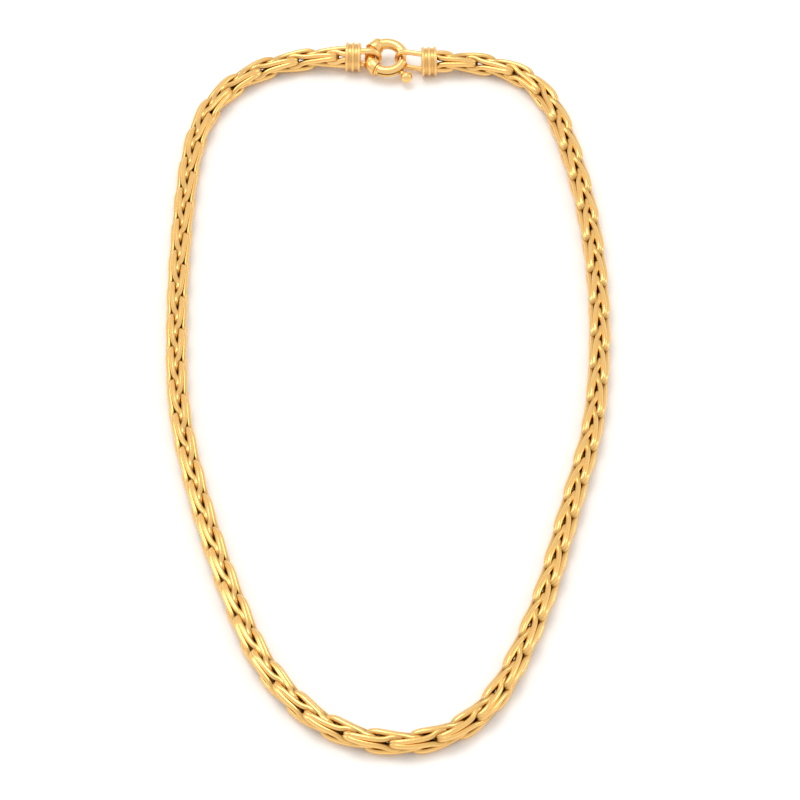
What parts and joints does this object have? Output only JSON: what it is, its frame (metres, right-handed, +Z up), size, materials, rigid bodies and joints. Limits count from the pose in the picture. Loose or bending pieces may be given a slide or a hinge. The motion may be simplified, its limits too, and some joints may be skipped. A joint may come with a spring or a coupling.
{
  "type": "link chain necklace",
  "caption": "Closed loop of palm link chain between two beaded end caps, fastened at the back by a spring ring clasp with a sliding trigger.",
  "frame": {"origin": "middle of the footprint, on the surface that the necklace lies on", "axes": "+Z up from the surface, +Y towards the clasp, X across the loop with the end cap of the bail on the -X side"},
  "size_m": [0.0914, 0.1876, 0.0064],
  "materials": {
    "gold": "polished yellow gold"
  },
  "bodies": {
    "necklace": {"chain_left": "gold", "chain_right": "gold", "end_cap_left": "gold", "end_cap_right": "gold", "clasp_ring": "gold"},
    "trigger": {"clasp_trigger": "gold"}
  },
  "joints": [
    {"name": "trigger_turn", "type": "hinge", "parent": "necklace", "child": "trigger", "pos_m": [-0.00039, 0.08908, 0.0033], "axis": [0, 0.1736, -0.9848], "range_deg": [0, 56], "stiffness_Nm_per_rad": 0.004, "springref_deg": -17.19}
  ]
}
